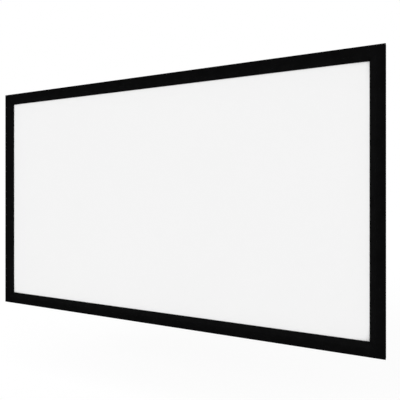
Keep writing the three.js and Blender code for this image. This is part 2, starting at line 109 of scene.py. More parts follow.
class BarSizes(PropertyGroup):
    """The velvet's outline over a bar, and the joints between bars."""
    crest: length("Crest", "Outer edge to the crest where the bevel begins", 0.048)
    nose_front: length("Nose front", "Front face back to the tip of the nose", 0.015)
    picture_recess: length("Recess", "Front face back to the back of the nose", 0.0185)
    front_edge_radius: length("Front edge radius", "Round of the outer front edge", 0.0025)
    back_edge_radius: length("Back edge radius", "Round of the outer back edge", 0.0015)
    crest_radius: length("Crest radius", "Round of the crest", 0.009)
    nose_radius: length("Nose radius", "Round of the nose", 0.0013)
    joint_gap: length("Joint gap", "Hairline where two bars meet", 0.0003)
    pile_round: length("Pile round", "Round of the velvet's edge at a joint", 0.0003)
    velvet: length("Velvet", "Thickness of the velvet", 0.0006)
    back_fold: length("Back fold", "Velvet turned over at the back", 0.006)
    nose_fold: length("Nose fold", "Velvet turned under the nose", 0.005)
    edge_softness: length("Edge softness", "Width of the bevel on metal edges", 0.00025)


class ClothSizes(PropertyGroup):
    """The screen cloth, its hems and the rods in them."""
    thickness: length("Thickness", "Thickness of the cloth", 0.0005)
    seat_gap: length("Seat gap", "Play between a rod and its hem", 0.0003)
    margin: length("Margin", "Cloth hidden behind the nose", 0.004)
    rod_radius: length("Rod radius", "Radius of a fibreglass rod", 0.0025)
    rod_offset: length("Rod offset", "Picture edge out to the middle of a rod", 0.010)
    rod_proud: length("Rod ends", "How far a rod stands out of its hem", 0.003)
    rod_chamfer: length("Rod chamfer", "Broken edge at a rod's ends", 0.0004)
    weld_start: length("Weld start", "Picture edge in to where the hem closes", 0.002)
    weld_end: length("Weld end", "Picture edge in to the end of the flap", 0.017)
    weld_margin: length("Weld margin", "Unwelded strip along each edge of the weld", 0.0018)
    weld_slope: length("Weld slope", "Width of the slope down into the weld", 0.0002)
    flap_gap: length("Flap gap", "Play between the flap and the sheet", 0.00002)
    hem_inset: length("Hem inset", "Corner of the picture to the end of a hem", 0.025)
    window_width: length("Window width", "Notch in a hem that a spring comes through", 0.016)
    window_margin: length("Window margin", "Notch past the wire round the rod", 0.0005)


class SpringSizes(PropertyGroup):
    """The coil springs and the rail that they hook over."""
    on_long_edge: IntProperty(name="Long edge", description="Springs on a long edge", default=10)
    on_short_edge: IntProperty(name="Short edge", description="Springs on a short edge", default=6)
    wire_radius: length("Wire radius", "Radius of the wire", 0.0006)
    coil_radius: length("Coil radius", "Outer radius of the coil", 0.003)
    lead: length("Lead", "Straight wire at each end of the coil", 0.0032)
    eye_play: length("Eye play", "Play between the eye and the rod", 0.00007)
    turns: number("Turns", "Turns of wire in a coil", 8.5)
    eye_turn: angle_size("Eye turn", "How far the eye goes round the rod", 300)
    rail_front: length("Rail front", "Front face back to the hook rail", 0.020)
    rail_end: length("Rail end", "Outer edge in to the end of the hook rail", 0.0502)
    rail_height: length("Rail height", "Height of the hook rail's leg", 0.005)
    rail_wall: length("Rail wall", "Thickness of the hook rail", 0.0016)


class ScrewSizes(PropertyGroup):
    """Set screws in the slots and button screws on the straps."""
    set_radius: length("Set screw radius", "Radius of a set screw", 0.00262)
    set_length: length("Set screw length", "Length of a set screw", 0.0052)
    set_proud: length("Set screw stands", "How far a set screw stands out of its plate", 0.0009)
    set_key: length("Set screw key", "Half the width across the hexagon socket", 0.00128)
    elbow_edge: length("Elbow edge", "End of an elbow's leg to its first screw", 0.014)
    elbow_pitch: length("Elbow pitch", "First to second screw of a leg", 0.052)
    splice_edge: length("Splice edge", "End of a splice plate to its first screw", 0.014)
    splice_pitch: length("Splice pitch", "First to second screw of a splice plate", 0.044)
    button_radius: length("Button radius", "Radius of a strap screw's head", 0.0038)
    button_height: length("Button height", "Height of a strap screw's head", 0.0021)
    button_key: length("Button key", "Half the width across the hexagon socket", 0.00127)
    button_play: length("Button play", "Play under a strap screw's head", 0.00005)
    strap_edge: length("Strap edge", "End of a strap to its screws", 0.009)
    strap_pitch: length("Strap pitch", "Between the two screws across a strap", 0.022)


class Finishes(PropertyGroup):
    """Colours of the surfaces, as they are seen in plain light."""
    velvet: colour("Velvet", "Black pile of the border", (0.0030, 0.0030, 0.0031))
    picture: colour("Picture", "Matt white front of the cloth", (0.905, 0.905, 0.905))
    backing: colour("Backing", "Black back of the cloth", (0.011, 0.011, 0.012))
    aluminium: colour("Aluminium", "Extruded bars", (0.56, 0.57, 0.58))
    zinc: colour("Zinc", "Plated plates and brackets", (0.54, 0.545, 0.55))
    black_oxide: colour("Black oxide", "Screws", (0.045, 0.045, 0.048))
    spring_steel: colour("Spring steel", "Bright spring wire", (0.62, 0.62, 0.64))
    fibreglass: colour("Fibreglass", "Rods in the hems", (0.74, 0.69, 0.50))


class StudioSettings(PropertyGroup):
    """Camera, lamps and floor."""
    camera_right: length("Camera right", "Middle of the screen to the camera, to the right", 1.5506)
    camera_out: length("Camera out", "Front face of the frame out to the camera", 2.4942)
    camera_up: length("Camera up", "Middle of the screen up to the camera", 0.0461)
    camera_yaw: angle_size("Yaw", "Camera turned to the left", 26.09823)
    camera_lens: number("Lens", "Focal length in millimetres", 39.76)
    sensor_width: number("Sensor", "Width of the camera's sensor in millimetres", 36)
    camera_shift: FloatVectorProperty(name="Shift", description="Shift of the picture to the side and up",
                                      default=(0.0006, -0.01825), size=2)
    ambient: number("Ambient", "Strength of the even light", 0.80)
    key: number("Key", "Strength of the soft key lamp", 0.78)
    key_softness: angle_size("Key softness", "Angle that the key lamp covers", 35)
    key_tilt: angle_size("Key tilt", "Key lamp tipped up from straight down", 66)
    key_turn: angle_size("Key turn", "Key lamp turned from the front, to the left", -18)
    floor_drop: length("Floor drop", "Lowest edge of the frame down to the floor", 0.55)
    floor_reach: length("Floor reach", "Middle of the floor out to its edges", 30)
    floor: colour("Floor", "Pale paint of the floor", (0.86, 0.86, 0.86))
    floor_white: number("Floor white", "Share of plain white in the floor", 0.7)
    white_level: number("White level", "Strength of the floor's plain white", 1.105)


# The four sides

class Side(NamedTuple):
    """A side of the frame: quarter turns about Y from the top, half the frame across and along it."""
    name: str
    turn: int
    out: float
    along: float
    long: bool


SIDES = (
    Side("top", 0, HALF_HEIGHT, HALF_WIDTH, True),
    Side("right", 1, HALF_WIDTH, HALF_HEIGHT, False),
    Side("bottom", 2, HALF_HEIGHT, HALF_WIDTH, True),
    Side("left", 3, HALF_WIDTH, HALF_HEIGHT, False),
)


def in_frame(side, u, v, t):
    """Points of a side: x = t and z = out - u on the top, turned about Y in quarter turns for the others."""
    x, z = t + 0 * u, side.out - u + 0 * t
    for _ in range(side.turn):
        x, z = z, -x
    return np.stack(np.broadcast_arrays(x, FRONT + v + 0 * t, z), -1)


class Bar(NamedTuple):
    """One bar of a side, with each end's place along the side and whether it is mitred."""
    name: str
    start: tuple
    finish: tuple


def bars_of(side, joint_gap):
    """The bars of a side, each held back by half of the joint's gap from the bar that it meets."""
    corner = side.along - joint_gap / math.sqrt(2)
    if not side.long:
        return [Bar(side.name, (-corner, True), (corner, True))]
    hands = ("left", "right") if side.name == "top" else ("right", "left")
    return [Bar(f"{side.name}_{hands[0]}", (-corner, True), (-joint_gap / 2, False)),
            Bar(f"{side.name}_{hands[1]}", (joint_gap / 2, False), (corner, True))]


def spring_places(side, springs):
    """Places along a side, at even steps over the length of the picture."""
    count = springs.on_long_edge if side.long else springs.on_short_edge
    pitch = 2 * (side.along - BAR_WIDTH) / count
    return (np.arange(count) + 0.5 - count / 2) * pitch


# Lines and surfaces

def rounded_line(corners, steps):
    """A line through corners (x, y, radius), each replaced by an arc of its radius between its tangents."""
    at = np.array([c[:2] for c in corners], float)
    points = [at[:1]]
    for i, (_, _, radius) in enumerate(corners[1:-1], 1):
        back, ahead = at[i - 1] - at[i], at[i + 1] - at[i]
        back, ahead = back / np.linalg.norm(back), ahead / np.linalg.norm(ahead)
        half = math.acos(np.clip(back @ ahead, -1, 1)) / 2
        middle = (back + ahead) / np.linalg.norm(back + ahead)
        centre = at[i] + middle * radius / math.sin(half)
        spoke = at[i] + back * radius / math.tan(half) - centre
        turn = -np.sign(back[0] * ahead[1] - back[1] * ahead[0]) * (math.pi - 2 * half)
        angle = np.linspace(0, turn, steps + 1)[:, None]
        across = np.array([-spoke[1], spoke[0]])
        points.append(centre + np.cos(angle) * spoke + np.sin(angle) * across)
    return np.concatenate([*points, at[-1:]])


def offset_line(points, distance):
    """The line moved to its left by a distance, along the bisector at each point."""
    way = np.diff(points, axis=0)
    way /= np.linalg.norm(way, axis=1)[:, None]
    normal = np.stack([-way[:, 1], way[:, 0]], 1)
    before, after = np.concatenate([normal[:1], normal]), np.concatenate([normal, normal[-1:]])
    return points + (before + after) * distance / (1 + (before * after).sum(1))[:, None]


def resampled(points, step):
    """The same line with points at even steps of its length."""
    run = np.concatenate([[0], np.cumsum(np.linalg.norm(np.diff(points, axis=0), axis=1))])
    at = np.linspace(0, run[-1], max(2, round(run[-1] / step) + 1))
    return np.stack([np.interp(at, run, axis) for axis in points.T], 1)


def eased(points, passes):
    """The line with its kinks eased: each point moves to the mean of itself and its neighbours."""
    points = points.copy()
    for _ in range(passes):
        points[1:-1] = (points[:-2] + 2 * points[1:-1] + points[2:]) / 4
    return points


def grid_faces(rows, columns, close_columns=False):
    """Corner numbers of the quads between the points of a grid, rows by columns."""
    row, column = np.meshgrid(np.arange(rows - 1), np.arange(columns - (not close_columns)), indexing="ij")
    after = (column + 1) % columns
    corners = [row * columns + column, (row + 1) * columns + column,
               (row + 1) * columns + after, row * columns + after]
    return np.stack(corners, -1).reshape(-1, 4)


class Surface:
    """Points and faces gathered from grids, with one value for each point."""

    def __init__(self):
        self.points, self.corners, self.sizes, self.values, self.count = [], [], [], [], 0

    def add(self, grid, *blocks, values=0.0):
        """Adds a grid of points and blocks of faces, each an array of faces by corner numbers in the grid."""
        flat = grid.reshape(-1, 3)
        self.points.append(flat)
        self.values.append(np.broadcast_to(values, grid.shape[:-1]).reshape(-1))
        for block in blocks:
            self.corners.append(block.reshape(-1) + self.count)
            self.sizes.append(np.full(len(block), block.shape[1]))
        self.count += len(flat)

    def add_tube(self, rings):
        """Adds a closed tube: a grid whose columns close on themselves, with a flat cap at each end."""
        rows, columns = rings.shape[:2]
        caps = np.arange(columns)[None] + np.array([[0], [(rows - 1) * columns]])
        self.add(rings, grid_faces(rows, columns, True), caps)

    def to_mesh(self, name, value_name):
        """A mesh of the points that faces use, with the points' values in an attribute of the name given."""
        used, corners = np.unique(np.concatenate(self.corners), return_inverse=True)
        points, sizes = np.concatenate(self.points)[used], np.concatenate(self.sizes)
        mesh = bpy.data.meshes.new(name)
        mesh.vertices.add(len(points))
        mesh.vertices.foreach_set("co", points.astype(np.float32).reshape(-1))
        mesh.loops.add(len(corners))
        mesh.loops.foreach_set("vertex_index", corners.astype(np.int32))
        mesh.polygons.add(len(sizes))
        mesh.polygons.foreach_set("loop_start", (np.cumsum(sizes) - sizes).astype(np.int32))
        mesh.update(calc_edges=True)
        if value_name:
            layer = mesh.attributes.new(value_name, "FLOAT", "POINT")
            layer.data.foreach_set("value", np.concatenate(self.values)[used].astype(np.float32))
        return mesh


def mesh_piece(name, surface, materials, closed=True, value_name=None, smooth=40):
    """Puts a surface into a new object that rides on the frame: doubles merged, faces turned outward."""
    return finished_piece(name, surface.to_mesh(name, value_name), materials, closed, smooth)


def finished_piece(name, mesh, materials, closed, smooth):
    """Merges a mesh's doubles, turns a closed one outward, shades it and makes it ride on the frame."""
    work = bmesh.new()
    work.from_mesh(mesh)
    bmesh.ops.remove_doubles(work, verts=work.verts, dist=MERGE_DISTANCE)
    if closed:
        bmesh.ops.recalc_face_normals(work, faces=work.faces)
    work.to_mesh(mesh)
    work.free()
    edges = np.empty(len(mesh.loops), np.int32)
    mesh.loops.foreach_get("edge_index", edges)
    if closed and (np.bincount(edges, minlength=len(mesh.edges)) != 2).any():
        raise RuntimeError(f"{name} isn't closed")
    mesh.shade_smooth()
    mesh.set_sharp_from_angle(angle=math.radians(smooth))
    for material in materials:
        mesh.materials.append(material)
    piece = bpy.data.objects.new(name, mesh)
    bpy.context.scene.collection.objects.link(piece)
    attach(piece, "root")
    return piece


# Materials. A pattern's scale is counted to the metre, and the height of a bump is in metres.

def new_material(name, base, roughness, metallic=0.0, specular=0.5):
    """A material with its plain values on the shader's own sockets, and its shader. A material that is
    there already comes back as it is, with no shader."""
    material = bpy.data.materials.get(name)
    if material:
        return material, None
    material = bpy.data.materials.new(name)
    material.use_nodes = True
    shader = material.node_tree.nodes["Principled BSDF"]
    shader.inputs["Base Color"].default_value = (*base, 1)
    shader.inputs["Roughness"].default_value = roughness
    shader.inputs["Metallic"].default_value = metallic
    shader.inputs["Specular IOR Level"].default_value = specular
    material.diffuse_color = (*base, 1)
    return material, shader


def add_node(tree, kind, inputs=None, **settings):
    """A node with its settings, and its inputs linked where they come from another node."""
    node = tree.nodes.new(kind)
    for key, value in settings.items():
        setattr(node, key, value)
    for key, value in (inputs or {}).items():
        if isinstance(value, bpy.types.NodeSocket):
            tree.links.new(value, node.inputs[key])
        else:
            node.inputs[key].default_value = value
    return node


def coordinates(tree, scale=(1, 1, 1), turn=(0, 0, 0)):
    """Object coordinates, stretched by a scale in each direction and turned about each axis."""
    source = add_node(tree, "ShaderNodeTexCoord")
    mapping = add_node(tree, "ShaderNodeMapping",
                       {"Vector": source.outputs["Object"], "Scale": scale, "Rotation": turn})
    return mapping.outputs["Vector"]


def noise(tree, vector, scale, detail=2.0, roughness=0.5):
    """A cloudy value from 0 to 1. More detail and roughness give finer clouds in it."""
    node = add_node(tree, "ShaderNodeTexNoise",
                    {"Vector": vector, "Scale": scale, "Detail": detail, "Roughness": roughness})
    return node.outputs["Fac"]


def ranged(tree, value, low, high, start=0.3, finish=0.7):
    """The value carried from the range start to finish over to the range low to high."""
    node = add_node(tree, "ShaderNodeMapRange",
                    {"Value": value, "From Min": start, "From Max": finish, "To Min": low, "To Max": high})
    return node.outputs["Result"]


def arithmetic(tree, operation, first, second):
    """Two values put together by an operation. Each is a number or comes from another node."""
    node = add_node(tree, "ShaderNodeMath", operation=operation)
    for socket, value in zip(node.inputs, (first, second)):
        if isinstance(value, bpy.types.NodeSocket):
            tree.links.new(value, socket)
        else:
            socket.default_value = value
    return node.outputs[0]


def shaded(tree, shader, base, factor):
    """Links the shader's colour to the base colour made lighter or darker by a factor that varies."""
    node = add_node(tree, "ShaderNodeVectorMath", operation="SCALE")
    node.inputs[0].default_value = base
    tree.links.new(factor, node.inputs["Scale"])
    tree.links.new(node.outputs[0], shader.inputs["Base Color"])


def bumped(tree, shader, height, distance, strength=1.0):
    """Links the shader's normal to a height, in metres at its full value."""
    node = add_node(tree, "ShaderNodeBump", {"Height": height, "Distance": distance, "Strength": strength})
    tree.links.new(node.outputs["Normal"], shader.inputs["Normal"])


def velvet_material(finishes):
    """Short black pile: very matt, a weak sheen, fine tufts, and painted light that makes the bevel up to 1.4
    times lighter than the flat face.
    """
    material, shader = new_material("Black velvet", finishes.velvet, 0.95, specular=0.0)
    if shader:
        tree = material.node_tree
        shader.inputs["Sheen Weight"].default_value = 0.003
        shader.inputs["Sheen Roughness"].default_value = 0.6
        shader.inputs["Sheen Tint"].default_value = (0.85, 0.85, 0.9, 1)
        tufts = noise(tree, coordinates(tree), 1900, 3, 0.6)
        brushed = noise(tree, coordinates(tree), 22, 3, 0.55)
        painted_bevel_light = add_node(tree, "ShaderNodeAttribute", attribute_name="painted_bevel_light").outputs["Fac"]
        lit = arithmetic(tree, "MULTIPLY", ranged(tree, brushed, 0.85, 1.18), ranged(tree, tufts, 0.62, 1.4))
        # Painted light: the velvet's colour is made up to 1.4 times lighter on the bevel, for the light that
        # the bevel catches.
        lit = arithmetic(tree, "MULTIPLY", lit, ranged(tree, painted_bevel_light, 1.0, 1.4, 0, 1))
        shaded(tree, shader, finishes.velvet, lit)
        tree.links.new(ranged(tree, tufts, 0.88, 1.0), shader.inputs["Roughness"])
        bumped(tree, shader, tufts, 0.00035, 0.8)
    return material


def crossed_waves(tree, vector, scale):
    """Two sets of ridges that cross each other in the plane of the picture."""
    sets = [add_node(tree, "ShaderNodeTexWave", {"Vector": vector, "Scale": scale}, bands_direction=way)
            for way in "XZ"]
    return arithmetic(tree, "MULTIPLY", *(ridges.outputs["Fac"] for ridges in sets))


def picture_material(finishes):
    """Matt white coated cloth: a fine even grain, and the diamond press marks of the weld on its hems."""
    material, shader = new_material("Matt white cloth", finishes.picture, 0.82, specular=0.25)
    if shader:
        tree = material.node_tree
        grain = noise(tree, coordinates(tree), 2600, 2, 0.6)
        batch = noise(tree, coordinates(tree), 1.3, 2, 0.5)
        shaded(tree, shader, finishes.picture, ranged(tree, batch, 0.997, 1.003))
        diamonds = crossed_waves(tree, coordinates(tree, turn=(0, math.radians(45), 0)), 170)
        weld = add_node(tree, "ShaderNodeAttribute", attribute_name="weld").outputs["Fac"]
        pressed = arithmetic(tree, "MULTIPLY", arithmetic(tree, "SUBTRACT", diamonds, 1.3), weld)
        tree.links.new(ranged(tree, grain, 0.76, 0.88), shader.inputs["Roughness"])
        height = arithmetic(tree, "ADD", arithmetic(tree, "MULTIPLY", grain, 0.25), pressed)
        bumped(tree, shader, height, 0.00016, 0.7)
    return material


def backing_material(finishes):
    """Black coated back of the cloth: a plain weave of about twelve threads to the centimetre."""
    material, shader = new_material("Black backing", finishes.backing, 0.62, specular=0.22)
    if shader:
        tree = material.node_tree
        cloudy = noise(tree, coordinates(tree), 9, 3, 0.5)
        shaded(tree, shader, finishes.backing, ranged(tree, cloudy, 0.88, 1.15))
        tree.links.new(ranged(tree, cloudy, 0.55, 0.68), shader.inputs["Roughness"])
        bumped(tree, shader, crossed_waves(tree, coordinates(tree), 380), 0.0001, 0.7)
    return material


def aluminium_material(finishes, upright):
    """Mill aluminium: faint lines drawn along the bar by the die, and slight clouding."""
    name = "Drawn aluminium upright" if upright else "Drawn aluminium level"
    material, shader = new_material(name, finishes.aluminium, 0.4, metallic=1.0)
    if shader:
        tree = material.node_tree
        along = (1, 1, 0.012) if upright else (0.012, 1, 1)
        lines = noise(tree, coordinates(tree, along), 900, 3, 0.6)
        cloudy = noise(tree, coordinates(tree), 14, 3, 0.5)
        shaded(tree, shader, finishes.aluminium, ranged(tree, cloudy, 0.93, 1.06))
        rough = arithmetic(tree, "ADD", ranged(tree, lines, 0.3, 0.46), ranged(tree, cloudy, -0.03, 0.05))
        tree.links.new(rough, shader.inputs["Roughness"])
        bumped(tree, shader, lines, 0.00004, 0.6)
    return material


def zinc_material(finishes):
    """Bright zinc plate on pressed steel: fine spangle, a little dull in patches."""
    material, shader = new_material("Zinc plate", finishes.zinc, 0.34, metallic=1.0)
    if shader:
        tree = material.node_tree
        spangle = add_node(tree, "ShaderNodeTexVoronoi", {"Vector": coordinates(tree), "Scale": 420.0})
        patch = noise(tree, coordinates(tree), 60, 3, 0.6)
        shaded(tree, shader, finishes.zinc, ranged(tree, spangle.outputs["Distance"], 0.93, 1.07, 0.1, 0.8))
        tree.links.new(ranged(tree, patch, 0.26, 0.44), shader.inputs["Roughness"])
        bumped(tree, shader, patch, 0.00003, 0.5)
    return material


def steel_material(name, base, roughness):
    """Bright or blackened steel with small changes in its roughness."""
    material, shader = new_material(name, base, roughness, metallic=1.0)
    if shader:
        tree = material.node_tree
        marks = noise(tree, coordinates(tree), 700, 3, 0.6)
        shaded(tree, shader, base, ranged(tree, marks, 0.9, 1.1))
        tree.links.new(ranged(tree, marks, roughness * 0.75, roughness * 1.3), shader.inputs["Roughness"])
        bumped(tree, shader, marks, 0.00002, 0.5)
    return material


def fibreglass_material(finishes, upright):
    """Drawn fibreglass rod: pale resin with long glass strands in it."""
    name = "Fibreglass upright" if upright else "Fibreglass level"
    material, shader = new_material(name, finishes.fibreglass, 0.42, specular=0.5)
    if shader:
        tree = material.node_tree
        along = (1, 1, 0.02) if upright else (0.02, 1, 1)
        strands = noise(tree, coordinates(tree, along), 1800, 3, 0.6)
        shaded(tree, shader, finishes.fibreglass, ranged(tree, strands, 0.86, 1.12))
        tree.links.new(ranged(tree, strands, 0.34, 0.52), shader.inputs["Roughness"])
        bumped(tree, shader, strands, 0.00004, 0.5)
    return material


# Pieces

def face_line(bars, steps=10):
    """The velvet's outer line from the back fold round the front to the fold behind the nose."""
    return rounded_line([
        (bars.back_fold, BAR_DEPTH, 0),
        (0, BAR_DEPTH, bars.back_edge_radius),
        (0, 0, bars.front_edge_radius),
        (bars.crest, 0, bars.crest_radius),
        (BAR_WIDTH, bars.nose_front, bars.nose_radius),
        (BAR_WIDTH, bars.picture_recess, bars.nose_radius),
        (BAR_WIDTH - bars.nose_fold, bars.picture_recess, 0),
    ], steps)


def end_places(end, u):
    """Where an end of a bar lies along its side at each u: at one place, or drawn back by u at a mitre."""
    at, mitred = end
    return np.sign(at) * (abs(at) - u) if mitred else at + 0 * u


def rounded_ends(radius, run, steps=4, between=33):
    """Shares of a run at which to carry a section whose edge is rounded at both ends by a quarter circle,
    and how far the section is drawn in at each of them."""
    angle = np.linspace(0, math.pi / 2, steps + 1)
    share = radius * (1 - np.cos(angle)) / run
    drawn_in = radius * (1 - np.sin(angle))
    middle = np.linspace(share[-1], 1 - share[-1], between + 2)[1:-1]
    return (np.concatenate([share, middle, 1 - share[::-1]]),
            np.concatenate([drawn_in, np.zeros(between), drawn_in[::-1]]))


def wrap_grid(bar, outer, inner, pile_round):
    """The velvet's closed outline carried along a bar and drawn in at both ends, as u, v and t. At a mitre
    each point stops short of the corner by its own distance from the bar's outer edge."""
    share, drawn_in = rounded_ends(pile_round, bar.finish[0] - bar.start[0])
    rings = np.stack([np.concatenate([offset_line(outer, inset), inner[::-1]]) for inset in drawn_in])
    u, v = rings[..., 0], rings[..., 1]
    share = share[:, None]
    return u, v, (1 - share) * end_places(bar.start, u) + share * end_places(bar.finish, u)


class PROJECTION_OT_velvet(Operator):
    """Wraps each bar in black velvet, folded over at the back and under the nose"""
    bl_idname = "projection.velvet"
    bl_label = "Velvet wraps"

    def execute(self, context):
        scene = context.scene
        bars = scene.screen_bars
        outer = face_line(bars)
        inner = offset_line(outer, bars.velvet)
        # Each end is closed by quads between the outer and the inner line.
        count = len(outer)
        near = np.arange(count - 1)
        cap = np.stack([near, near + 1, 2 * count - 2 - near, 2 * count - 1 - near], 1)
        material = velvet_material(scene.screen_finishes)
        # The pile closes the hairline between two bars, so the wraps have no joint gap.
        for side in SIDES:
            for bar in bars_of(side, 0):
                u, v, t = wrap_grid(bar, outer, inner, bars.pile_round)
                # Painted light: 1 on the bevel and 0 on the flat face, the share by which the velvet's colour
                # is painted lighter there.
                bevel_light_share = np.clip((u - bars.crest) / bars.crest_radius + 0.5, 0, 1)
                surface = Surface()
                last_ring = u.size - u.shape[1]
                surface.add(in_frame(side, u, v, t), grid_faces(*u.shape, True), cap, cap + last_ring,
                            values=bevel_light_share)
                wrap = mesh_piece(f"velvet_wrap_{bar.name}", surface, [material], value_name="painted_bevel_light")
                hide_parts(f"velvet_{bar.name}")
        return {"FINISHED"}


def hem_line(cloth, steps=14):
    """Middle of the cloth in a hem: a line out in front of the rod, an arc round it, the tangent from the
    arc to where the hem closes, and the flap welded to the back of the sheet. Also gives where the weld
    is pressed into it, and the middle of the rod."""
    half = cloth.thickness / 2
    front = CLOTH_FRONT + half
    rod_u = BAR_WIDTH - cloth.rod_offset
    rod_v = CLOTH_FRONT + cloth.thickness + cloth.seat_gap + cloth.rod_radius
    radius = rod_v - front
    flap = front + cloth.thickness + cloth.flap_gap
    closes = np.array([BAR_WIDTH + cloth.weld_start, flap])
    to_weld = closes - (rod_u, rod_v)
    leaves = math.atan2(to_weld[1], to_weld[0]) + math.acos(radius / np.linalg.norm(to_weld))
    angle = np.linspace(-math.pi / 2, leaves - 2 * math.pi, steps + 1)
    loop = np.stack([rod_u + radius * np.cos(angle), rod_v + radius * np.sin(angle)], 1)
    start = [[BAR_WIDTH - cloth.margin, front]]
    begins, ends = cloth.weld_start + cloth.weld_margin, cloth.weld_end - cloth.weld_margin
    slope = cloth.weld_slope
    weld = BAR_WIDTH + np.array([begins, begins + slope, ends - slope, ends, cloth.weld_end])
    flat = np.stack([weld, np.full(len(weld), flap)], 1)
    pressed = np.concatenate([np.zeros(len(start) + len(loop) + 1), [0, 1, 1, 0, 0]])
    return np.concatenate([start, loop, [closes], flat]), pressed, (rod_u, rod_v)


def hem_marks(side, cloth, springs):
    """Places along a side, in order, where its hem begins and ends and where each notch begins and ends."""
    half = side.along - BAR_WIDTH - cloth.hem_inset
    windows = spring_places(side, springs)
    edges = np.concatenate([windows - cloth.window_width / 2, windows + cloth.window_width / 2])
    return np.sort(np.concatenate([[-half, half], edges]))


def flat_panel(cloth, springs):
    """The flat of the picture, with grid lines at the hems' marks, so that its points meet theirs."""
    half_x = HALF_WIDTH - BAR_WIDTH + cloth.margin
    half_z = HALF_HEIGHT - BAR_WIDTH + cloth.margin
    level, upright = SIDES[:2]
    x = np.concatenate([[-half_x], hem_marks(level, cloth, springs), [half_x]])
    z = np.concatenate([[-half_z], hem_marks(upright, cloth, springs), [half_z]])
    y = FRONT + CLOTH_FRONT + cloth.thickness / 2
    grid = np.stack(np.broadcast_arrays(x[:, None], y, z[None]), -1)
    return grid, grid_faces(len(x), len(z))


def with_crossings(line, u):
    """The line with a point added wherever it crosses a place u."""
    before, after = line[:-1], line[1:]
    crosses = (before[:, 0] - u) * (after[:, 0] - u) < 0
    share = ((u - before[:, 0]) / np.where(crosses, after[:, 0] - before[:, 0], 1))[:, None]
    added = before + share * (after - before)
    return np.insert(line, np.flatnonzero(crosses) + 1, added[crosses], axis=0)


class PROJECTION_OT_cloth(Operator):
    """Stretches the white cloth behind the nose, with a hem round each rod and a notch at each spring"""
    bl_idname = "projection.cloth"
    bl_label = "Screen cloth"

    def execute(self, context):
        scene = context.scene
        cloth, springs = scene.screen_cloth, scene.screen_springs
        line, pressed, (rod_u, _) = hem_line(cloth)
        notch = rod_u + cloth.rod_radius + 2 * springs.wire_radius + cloth.window_margin
        hem = with_crossings(np.column_stack([line, pressed]), notch)
        line, pressed = hem[:, :2], hem[:, 2]
        surface = Surface()
        for side in SIDES:
            windows, t = spring_places(side, springs), hem_marks(side, cloth, springs)
            grid = in_frame(side, line[:, 0][None], line[:, 1][None], t[:, None])
            faces = grid_faces(*grid.shape[:2])
            row, column = faces[:, 0] // len(line), faces[:, 0] % len(line)
            middle_t = (t[row] + t[row + 1]) / 2
            middle_u = (line[column, 0] + line[column + 1, 0]) / 2
            in_window = np.abs(middle_t[:, None] - windows).min(1) < cloth.window_width / 2
            kept = ~(in_window & (middle_u < notch))
            surface.add(grid, faces[kept], values=pressed[None])
        surface.add(*flat_panel(cloth, springs))
        finishes = scene.screen_finishes
        materials = [picture_material(finishes), backing_material(finishes)]
        piece = mesh_piece("projection_cloth", surface, materials, closed=False,
                           value_name="weld")
        wall = piece.modifiers.new("thickness", "SOLIDIFY")
        wall.thickness, wall.offset = cloth.thickness, 0
        wall.material_offset, wall.material_offset_rim, wall.use_even_offset = 1, 1, True
        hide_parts("screen_cloth")
        return {"FINISHED"}


class PROJECTION_OT_rods(Operator):
    """Puts a fibreglass rod in each hem, with its ends broken"""
    bl_idname = "projection.rods"
    bl_label = "Fibreglass rods"

    def execute(self, context):
        scene = context.scene
        cloth, bars = scene.screen_cloth, scene.screen_bars
        *_, (rod_u, rod_v) = hem_line(cloth)
        # A circle of the rod's radius is carried along the side, and is smaller by the chamfer at both ends.
        angle = np.linspace(0, 2 * math.pi, ROD_SIDES, endpoint=False)
        for side in SIDES:
            reach = side.along - BAR_WIDTH - cloth.hem_inset + cloth.rod_proud
            material = fibreglass_material(scene.screen_finishes, not side.long)
            for bar in bars_of(side, bars.joint_gap):
                start, finish = max(-reach, bar.start[0]), min(reach, bar.finish[0])
                chamfer = cloth.rod_chamfer
                t = np.array([start, start + chamfer, finish - chamfer, finish])[:, None]
                radius = cloth.rod_radius - np.array([chamfer, 0, 0, chamfer])[:, None]
                u, v = rod_u + radius * np.cos(angle), rod_v + radius * np.sin(angle)
                surface = Surface()
                surface.add_tube(in_frame(side, u, v, t))
                rod = mesh_piece(f"rod_{bar.name}", surface, [material])
                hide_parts(f"rod_with_springs_{bar.name}")
        return {"FINISHED"}


def spring_path(cloth, springs):
    """A spring's wire in (u, v, along the side): an eye round the rod, a lead onto the axis, a helix whose
    radius opens and closes over half a turn, and a hook that goes over the rail's leg into its groove."""
    rod, wire = np.array(hem_line(cloth)[-1]), springs.wire_radius
    eye = cloth.rod_radius + wire + springs.eye_play
    start = rod - (eye, 0)
    over = springs.rail_wall / 2 + cloth.seat_gap + wire
    leg = np.array([springs.rail_end - springs.rail_wall / 2, springs.rail_front + springs.rail_height])
    way = leg + (0, over) - start
    way /= np.linalg.norm(way)
    meets = math.atan2(-way[0], way[1])
    finish = leg + over * np.array([math.cos(meets), math.sin(meets)])
    way = (finish - start) / np.linalg.norm(finish - start)
    side_way = np.array([-way[1], way[0]])
    run = np.linalg.norm(finish - start) - 2 * springs.lead
    angle = np.linspace(math.pi + springs.eye_turn, math.pi, EYE_POINTS)
    round_rod = np.stack([rod[0] + eye * np.cos(angle), rod[1] + eye * np.sin(angle), 0 * angle], 1)
    phase = np.linspace(0, 2 * math.pi * springs.turns, COIL_POINTS)
    opens = np.clip(np.minimum(phase, phase[-1] - phase) / math.pi, 0, 1)
    radius = (springs.coil_radius - wire) * opens * opens * (3 - 2 * opens)
    along = springs.lead + run * phase / phase[-1]
    middle = start + along[:, None] * way + (radius * np.cos(phase))[:, None] * side_way
    helix = np.column_stack([middle, radius * np.sin(phase)])
    angle = np.linspace(meets, math.pi, HOOK_POINTS)
    over_leg = np.stack([leg[0] + over * np.cos(angle), leg[1] + over * np.sin(angle), 0 * angle], 1)
    tip = [[leg[0] - over, springs.rail_front + springs.rail_wall + 2 * wire, 0]]
    return eased(resampled(np.concatenate([round_rod, helix, over_leg, tip]), WIRE_STEP), WIRE_EASING)


